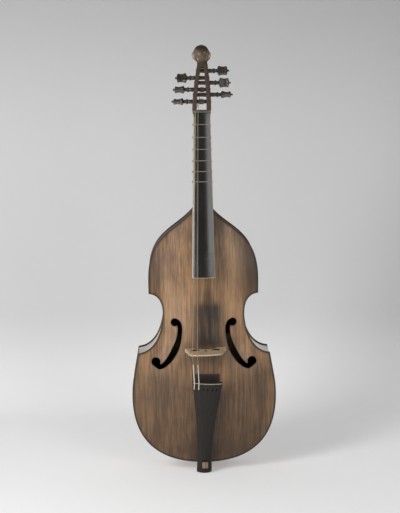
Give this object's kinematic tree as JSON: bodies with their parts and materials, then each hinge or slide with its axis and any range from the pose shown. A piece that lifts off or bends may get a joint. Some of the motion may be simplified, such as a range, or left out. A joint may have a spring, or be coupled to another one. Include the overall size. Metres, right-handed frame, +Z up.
{
  "type": "viola da gamba",
  "caption": "Bass viola da gamba: sound box with C-holes and ribs, fretted neck, pegbox with turning pegs and a carved head, bridge, tailpiece on a hook bar.",
  "frame": {"origin": "on the centre line, on the underside of the hook bar, in the plane where the belly is glued to the ribs", "axes": "+Z up along the neck, -Y the front with the strings, +X the treble side"},
  "size_m": [0.396, 0.23, 1.1733],
  "materials": {
    "belly_wood": "varnished softwood, grain along the instrument, worn satin",
    "body_wood": "varnished hardwood, satin gloss",
    "inner_wood": "bare, planed",
    "neck_wood": "varnished, darkened by handling",
    "dark_wood": "blackened, polished by use",
    "bridge_wood": "bare, waxed",
    "peg_wood": "turned and carved, polished",
    "bone": "old bone, satin",
    "gut": "twisted gut, satin"
  },
  "bodies": {
    "instrument": {"belly": "belly_wood", "back": "body_wood", "rib_lower_left": "body_wood", "rib_lower_right": "body_wood", "rib_centre_left": "body_wood", "rib_centre_right": "body_wood", "rib_upper_left": "body_wood", "rib_upper_right": "body_wood", "tail_block": "inner_wood", "neck_block": "inner_wood", "corner_block_lower_left": "inner_wood", "corner_block_lower_right": "inner_wood", "corner_block_upper_left": "inner_wood", "corner_block_upper_right": "inner_wood", "bass_bar": "inner_wood", "soundpost": "inner_wood", "soundpost_plate": "inner_wood", "back_brace_1": "inner_wood", "back_brace_2": "inner_wood", "back_brace_3": "inner_wood", "neck": "neck_wood", "pegbox": "neck_wood", "carved_head": "neck_wood", "fingerboard": "dark_wood", "nut": "bone", "bass_string": "gut", "second_string": "gut", "bridge": "bridge_wood", "tailpiece": "dark_wood", "tailpiece_saddle": "bone", "hook_bar": "neck_wood"},
    "turning_peg_left_3": {"peg_left_3": "peg_wood"},
    "turning_peg_right_3": {"peg_right_3": "peg_wood"},
    "turning_peg_left_2": {"peg_left_2": "peg_wood"},
    "turning_peg_right_2": {"peg_right_2": "peg_wood"},
    "turning_peg_left_1": {"peg_left_1": "peg_wood"},
    "turning_peg_right_1": {"peg_right_1": "peg_wood"},
    "sliding_fret_1": {"fret_1": "gut"},
    "sliding_fret_2": {"fret_2": "gut"},
    "sliding_fret_3": {"fret_3": "gut"},
    "sliding_fret_4": {"fret_4": "gut"},
    "sliding_fret_5": {"fret_5": "gut"},
    "sliding_fret_6": {"fret_6": "gut"}
  },
  "joints": [
    {"name": "peg_left_3_turn", "type": "hinge", "parent": "instrument", "child": "turning_peg_left_3", "pos_m": [0, 0.03578, 1.01777], "axis": [1, 0, 0], "continuous": true},
    {"name": "peg_right_3_turn", "type": "hinge", "parent": "instrument", "child": "turning_peg_right_3", "pos_m": [0, 0.04248, 1.03619], "axis": [1, 0, 0], "continuous": true},
    {"name": "peg_left_2_turn", "type": "hinge", "parent": "instrument", "child": "turning_peg_left_2", "pos_m": [0, 0.04768, 1.05047], "axis": [1, 0, 0], "continuous": true},
    {"name": "peg_right_2_turn", "type": "hinge", "parent": "instrument", "child": "turning_peg_right_2", "pos_m": [0, 0.05435, 1.06879], "axis": [1, 0, 0], "continuous": true},
    {"name": "peg_left_1_turn", "type": "hinge", "parent": "instrument", "child": "turning_peg_left_1", "pos_m": [0, 0.05931, 1.08242], "axis": [1, 0, 0], "continuous": true},
    {"name": "peg_right_1_turn", "type": "hinge", "parent": "instrument", "child": "turning_peg_right_1", "pos_m": [0, 0.06635, 1.10178], "axis": [1, 0, 0], "continuous": true},
    {"name": "fret_1_slide", "type": "slide", "parent": "instrument", "child": "sliding_fret_1", "axis": [0, 0.1571, 0.9876], "range_m": [-0.003, 0.003]},
    {"name": "fret_2_slide", "type": "slide", "parent": "instrument", "child": "sliding_fret_2", "axis": [0, 0.1571, 0.9876], "range_m": [-0.003, 0.003]},
    {"name": "fret_3_slide", "type": "slide", "parent": "instrument", "child": "sliding_fret_3", "axis": [0, 0.1571, 0.9876], "range_m": [-0.003, 0.003]},
    {"name": "fret_4_slide", "type": "slide", "parent": "instrument", "child": "sliding_fret_4", "axis": [0, 0.1571, 0.9876], "range_m": [-0.003, 0.003]},
    {"name": "fret_5_slide", "type": "slide", "parent": "instrument", "child": "sliding_fret_5", "axis": [0, 0.1571, 0.9876], "range_m": [-0.003, 0.003]},
    {"name": "fret_6_slide", "type": "slide", "parent": "instrument", "child": "sliding_fret_6", "axis": [0, 0.1571, 0.9876], "range_m": [-0.003, 0.003]}
  ]
}
